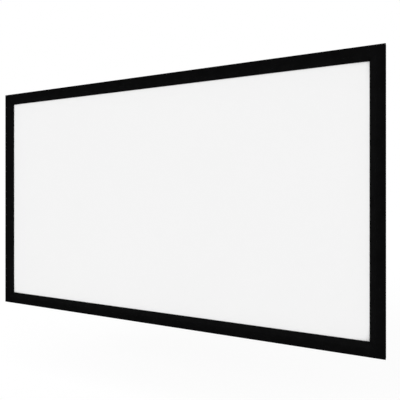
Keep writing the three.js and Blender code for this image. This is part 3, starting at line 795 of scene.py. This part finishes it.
def wire_rings(path, radius, sides=8):
    """Rings round a path. A first frame is square to the path and to one fixed direction. Its turn about
    the path from each point to the next is then added up and taken back, so that the wire isn't twisted."""
    tangent = np.gradient(path, axis=0)
    tangent /= np.linalg.norm(tangent, axis=1)[:, None]
    normal = np.cross(tangent, (0.36, 0.48, 0.8))
    normal /= np.linalg.norm(normal, axis=1)[:, None]
    across = np.cross(tangent, normal)
    before, after = normal[:-1], tangent[1:]
    carried = before - after * (before * after).sum(1)[:, None]
    turn = np.arctan2((carried * across[1:]).sum(1), (carried * normal[1:]).sum(1))
    turned = np.concatenate([[0], np.cumsum(turn)])[:, None]
    angle = turned + np.linspace(0, 2 * math.pi, sides, endpoint=False)
    ring = np.cos(angle)[..., None] * normal[:, None] + np.sin(angle)[..., None] * across[:, None]
    return path[:, None] + radius * ring


class PROJECTION_OT_springs(Operator):
    """Winds the coil springs that pull each rod out towards its bar"""
    bl_idname = "projection.springs"
    bl_label = "Coil springs"

    def execute(self, context):
        scene = context.scene
        springs, finishes = scene.screen_springs, scene.screen_finishes
        rings = wire_rings(spring_path(scene.screen_cloth, springs), springs.wire_radius)
        u, v, t = np.moveaxis(rings, -1, 0)
        material = steel_material("Spring steel", finishes.spring_steel, 0.26)
        for side in SIDES:
            for bar in bars_of(side, scene.screen_bars.joint_gap):
                surface = Surface()
                for place in spring_places(side, springs):
                    if bar.start[0] < place < bar.finish[0]:
                        surface.add_tube(in_frame(side, u, v, t + place))
                piece = mesh_piece(f"springs_{bar.name}", surface, [material])
                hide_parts(f"rod_with_springs_{bar.name}")
        return {"FINISHED"}


def hexagon(angle):
    """How far the edge of a hexagon lies from its middle, for a distance of 1 to each side."""
    return 1 / np.cos((angle + math.pi / 6) % (math.pi / 3) - math.pi / 6)


def socket_screw(rows, key, depth, sides=36):
    """A turned screw with a hexagon socket. rows are its outline (radius, height) from its tip to the rim of
    the socket; the socket's wall follows a hexagon down to its floor. Returns rings of (x, z, height)."""
    mouth, floor, lead_in = 1.06, 0.98, 0.12 * key
    angle = np.linspace(0, 2 * math.pi, sides, endpoint=False)
    radius, height = np.array(rows).T
    shape = key * hexagon(angle)
    top = height[-1]
    radii = np.concatenate([radius[:, None] + 0 * angle, [shape * mouth, shape, shape * floor]])
    heights = np.concatenate([height, [top, top - lead_in, top - depth]])[:, None] + 0 * angle
    return np.stack([radii * np.cos(angle), radii * np.sin(angle), heights], -1)


def add_screws(name, rings, places, base, material):
    """One piece of like screws. places are (x, z), and base is the y of the screws' zero height."""
    surface = Surface()
    for x, z in places:
        points = np.stack([x + rings[..., 0], base + rings[..., 2], z + rings[..., 1]], -1)
        surface.add_tube(points)
    return mesh_piece(name, surface, [material], smooth=30)


def leg_screws(corner, which, screws):
    """Places of an elbow's four screws: two on each leg, counted from its ends, in the middle of the slot."""
    low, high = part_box(f"elbow_{corner}_{which}")
    x_in = 1 if "left" in corner else -1
    z_in = -1 if "top" in corner else 1
    x_end, z_end = (high.x if x_in > 0 else low.x), (low.z if z_in < 0 else high.z)
    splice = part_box(f"splice_top_{which}")
    middle = HALF_HEIGHT - (splice[0].z + splice[1].z) / 2
    x_middle, z_middle = -x_in * (HALF_WIDTH - middle), -z_in * (HALF_HEIGHT - middle)
    steps = (screws.elbow_edge, screws.elbow_edge + screws.elbow_pitch)
    on_level = [(x_end - x_in * step, z_middle) for step in steps]
    on_upright = [(x_middle, z_end - z_in * step) for step in steps]
    return on_level + on_upright


def splice_screws(edge, which, screws):
    """Places of a splice plate's four screws: two from each end, in the middle of the slot."""
    low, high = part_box(f"splice_{edge}_{which}")
    steps = (screws.splice_edge, screws.splice_edge + screws.splice_pitch)
    return [(x, (low.z + high.z) / 2) for step in steps for x in (low.x + step, high.x - step)]


class PROJECTION_OT_set_screws(Operator):
    """Puts the socket set screws into the elbows and splice plates"""
    bl_idname = "projection.set_screws"
    bl_label = "Set screws"

    def execute(self, context):
        scene = context.scene
        screws = scene.screen_screws
        radius, size = screws.set_radius, screws.set_length
        # The outline goes up from the cup in the tip, over the tip's cone, up the side and over the top's
        # broken edge to the rim of the socket.
        cup, cup_rim, tip = 0.45 * radius, 0.55 * radius, 0.7 * radius
        cup_depth, cone, broken, top = 0.2 * radius, 0.3 * radius, 0.14 * radius, 0.9 * radius
        rim, socket_depth = 1.28 * screws.set_key, 0.45 * size
        rows = [(cup, cup_depth), (cup_rim, 0), (tip, 0), (radius, cone),
                (radius, size - broken), (top, size), (rim, size)]
        rings = socket_screw(rows, screws.set_key, socket_depth)
        base = FRONT + PLATE_BACK + screws.set_proud - size
        material = steel_material("Black oxide", scene.screen_finishes.black_oxide, 0.38)
        for corner in CORNERS:
            places = [place for which in SLOTS for place in leg_screws(corner, which, screws)]
            add_screws(f"set_screws_{corner}", rings, places, base, material)
        for edge in LONG_EDGES:
            places = [place for which in SLOTS for place in splice_screws(edge, which, screws)]
            add_screws(f"set_screws_{edge}_middle", rings, places, base, material)
        return {"FINISHED"}


class PROJECTION_OT_strap_screws(Operator):
    """Puts the button screws through the straps into the splice plates and the upright bar"""
    bl_idname = "projection.strap_screws"
    bl_label = "Strap screws"

    def execute(self, context):
        scene = context.scene
        screws = scene.screen_screws
        radius, height = screws.button_radius, screws.button_height
        # The outline goes out under the head, up its low edge and over a dome, whose radius falls as a
        # cosine and whose height rises as a sine, to the rim of the socket.
        edge_height, spread, socket_depth = 0.15 * height, math.radians(62), 0.6 * height
        share = np.linspace(0, 1, 7)
        dome = np.stack([radius * np.cos(share * spread),
                         edge_height + (height - edge_height) * np.sin(share * math.pi / 2)], 1)
        shank, underside = 0.4 * radius, 0.97 * radius
        rows = [(shank, 0), (underside, 0), *dome.tolist()]
        rings = socket_screw(rows, screws.button_key, socket_depth)
        base = FRONT + STRAP_BACK + screws.button_play
        material = steel_material("Black oxide", scene.screen_finishes.black_oxide, 0.38)
        for edge in LONG_EDGES:
            low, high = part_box(f"upright_strap_{edge}")
            places = [(side * screws.strap_pitch / 2, z) for side in (-1, 1)
                      for z in (low.z + screws.strap_edge, high.z - screws.strap_edge)]
            add_screws(f"strap_screws_{edge}", rings, places, base, material)
        return {"FINISHED"}


def softened(node, material, width):
    """A copy of a CAD node with its flat faces made whole and its edges broken by a narrow bevel."""
    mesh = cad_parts[node].data.copy()
    mesh.materials.clear()
    work = bmesh.new()
    work.from_mesh(mesh)
    bmesh.ops.remove_doubles(work, verts=work.verts, dist=CAD_MERGE_DISTANCE)
    bmesh.ops.dissolve_limit(work, angle_limit=math.radians(1), verts=work.verts, edges=work.edges)
    work.to_mesh(mesh)
    work.free()
    piece = finished_piece(f"{node}_finished", mesh, [material], closed=False, smooth=35)
    bevel = piece.modifiers.new("broken edges", "BEVEL")
    bevel.width, bevel.segments = width, 2
    bevel.limit_method, bevel.angle_limit = "ANGLE", math.radians(40)
    bevel.use_clamp_overlap = True
    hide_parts(node)
    return piece


class PROJECTION_OT_bars(Operator):
    """Finishes the aluminium bars and the upright, with their edges broken"""
    bl_idname = "projection.bars"
    bl_label = "Aluminium bars"

    def execute(self, context):
        scene = context.scene
        for node in [f"bar_{name}" for name in BARS] + ["upright_bar"]:
            upright = node in ("bar_left", "bar_right", "upright_bar")
            material = aluminium_material(scene.screen_finishes, upright)
            softened(node, material, scene.screen_bars.edge_softness)
        return {"FINISHED"}


class PROJECTION_OT_plates(Operator):
    """Finishes the elbows, the splice plates and the straps, with their edges broken"""
    bl_idname = "projection.plates"
    bl_label = "Joining plates"

    def execute(self, context):
        scene = context.scene
        nodes = [f"elbow_{corner}_{which}" for corner in CORNERS for which in SLOTS]
        nodes += [f"splice_{edge}_{which}" for edge in LONG_EDGES for which in SLOTS]
        nodes += [f"upright_strap_{edge}" for edge in LONG_EDGES]
        for node in nodes:
            softened(node, zinc_material(scene.screen_finishes),
                     scene.screen_bars.edge_softness)
        return {"FINISHED"}


class PROJECTION_OT_brackets(Operator):
    """Finishes the four wall brackets, with their edges broken"""
    bl_idname = "projection.brackets"
    bl_label = "Wall brackets"

    def execute(self, context):
        scene = context.scene
        for corner in CORNERS:
            softened(f"wall_bracket_{corner}", zinc_material(scene.screen_finishes),
                     scene.screen_bars.edge_softness)
        return {"FINISHED"}


class PROJECTION_OT_studio(Operator):
    """Sets up the camera at the photograph's angle, soft even light and a plain pale floor"""
    bl_idname = "projection.studio"
    bl_label = "Studio"

    def execute(self, context):
        scene = context.scene
        studio = scene.screen_studio
        add_camera(scene, studio)
        light_world(scene, studio)
        add_key(scene, studio)
        add_floor(scene, studio)
        scene.view_settings.view_transform = "Standard"
        return {"FINISHED"}


def add_camera(scene, studio):
    """A level camera in front of the screen and to its right, turned to the left."""
    data = bpy.data.cameras.new("camera")
    data.sensor_width, data.lens = studio.sensor_width, studio.camera_lens
    data.shift_x, data.shift_y = studio.camera_shift
    data.clip_start, data.clip_end = 0.05, 100
    camera = bpy.data.objects.new("camera", data)
    camera.location = (studio.camera_right, FRONT - studio.camera_out, studio.camera_up)
    camera.rotation_euler = (math.pi / 2, 0, studio.camera_yaw)
    scene.collection.objects.link(camera)
    scene.camera = camera


def seen_directly(tree):
    """1 for rays that come from the camera, from gloss or through glass, and 0 for light itself."""
    path = add_node(tree, "ShaderNodeLightPath").outputs
    seen = arithmetic(tree, "MAXIMUM", path["Is Camera Ray"], path["Is Glossy Ray"])
    return arithmetic(tree, "MAXIMUM", seen, path["Is Transmission Ray"])


def light_world(scene, studio):
    """White to the eye, and an even light of a plain level to the object."""
    world = bpy.data.worlds.new("studio")
    world.use_nodes = True
    scene.world = world
    tree = world.node_tree
    background = tree.nodes["Background"]
    background.inputs["Color"].default_value = (1, 1, 1, 1)
    level = ranged(tree, seen_directly(tree), studio.ambient, 1.0, 0, 1)
    tree.links.new(level, background.inputs["Strength"])


def add_key(scene, studio):
    """One wide soft lamp from the front, above and a little to the left."""
    data = bpy.data.lights.new("key", "SUN")
    data.energy, data.angle = studio.key, studio.key_softness
    key = bpy.data.objects.new("key", data)
    key.rotation_euler = (studio.key_tilt, 0, studio.key_turn)
    scene.collection.objects.link(key)


def add_floor(scene, studio):
    """A wide plane below the frame: plain white to the eye, with a share of real shading for the shadow."""
    reach, level = studio.floor_reach, -HALF_HEIGHT - studio.floor_drop
    corners = [(-reach, -reach, level), (reach, -reach, level), (reach, reach, level), (-reach, reach, level)]
    mesh = bpy.data.meshes.new("floor")
    mesh.from_pydata(corners, [], [(0, 1, 2, 3)])
    material = bpy.data.materials.new("Pale floor")
    material.use_nodes = True
    tree = material.node_tree
    tree.nodes.clear()
    paint = add_node(tree, "ShaderNodeBsdfDiffuse", {"Color": (*studio.floor, 1)})
    white = add_node(tree, "ShaderNodeEmission", {"Color": (1, 1, 1, 1), "Strength": studio.white_level})
    share = arithmetic(tree, "MULTIPLY", seen_directly(tree), studio.floor_white)
    mixed = add_node(tree, "ShaderNodeMixShader", {0: share, 1: paint.outputs[0], 2: white.outputs[0]})
    add_node(tree, "ShaderNodeOutputMaterial", {"Surface": mixed.outputs[0]})
    mesh.materials.append(material)
    floor = bpy.data.objects.new("floor", mesh)
    scene.collection.objects.link(floor)


GROUPS = (("screen_bars", BarSizes), ("screen_cloth", ClothSizes), ("screen_springs", SpringSizes),
          ("screen_screws", ScrewSizes), ("screen_finishes", Finishes), ("screen_studio", StudioSettings))
OPERATORS = (PROJECTION_OT_studio, PROJECTION_OT_bars, PROJECTION_OT_plates, PROJECTION_OT_brackets,
             PROJECTION_OT_velvet, PROJECTION_OT_cloth, PROJECTION_OT_rods, PROJECTION_OT_springs,
             PROJECTION_OT_set_screws, PROJECTION_OT_strap_screws)


class PROJECTION_PT_sidebar(Panel):
    """Lists the screen's pieces and their sizes"""
    bl_label = "Fixed Frame Screen"
    bl_idname = "PROJECTION_PT_sidebar"
    bl_space_type = "VIEW_3D"
    bl_region_type = "UI"
    bl_category = "Screen"

    def draw(self, context):
        for operator in OPERATORS:
            self.layout.operator(operator.bl_idname)
        for name, group in GROUPS:
            box = self.layout.box()
            box.label(text=group.__name__)
            for prop in group.__annotations__:
                box.prop(getattr(context.scene, name), prop)


def register():
    """Adds the sizes, the operators and the panel."""
    for _, group in GROUPS:
        bpy.utils.register_class(group)
    for name, group in GROUPS:
        setattr(bpy.types.Scene, name, PointerProperty(type=group))
    for operator in OPERATORS:
        bpy.utils.register_class(operator)
    bpy.utils.register_class(PROJECTION_PT_sidebar)


def unregister():
    """Takes the panel, the operators and the sizes out again."""
    bpy.utils.unregister_class(PROJECTION_PT_sidebar)
    for operator in reversed(OPERATORS):
        bpy.utils.unregister_class(operator)
    for name, _ in reversed(GROUPS):
        delattr(bpy.types.Scene, name)
    for _, group in reversed(GROUPS):
        bpy.utils.unregister_class(group)


def main():
    """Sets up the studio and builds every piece."""
    register()
    bpy.ops.projection.studio()
    bpy.ops.projection.bars()
    bpy.ops.projection.plates()
    bpy.ops.projection.brackets()
    bpy.ops.projection.velvet()
    bpy.ops.projection.cloth()
    bpy.ops.projection.rods()
    bpy.ops.projection.springs()
    bpy.ops.projection.set_screws()
    bpy.ops.projection.strap_screws()


if __name__ == "__main__":
    main()
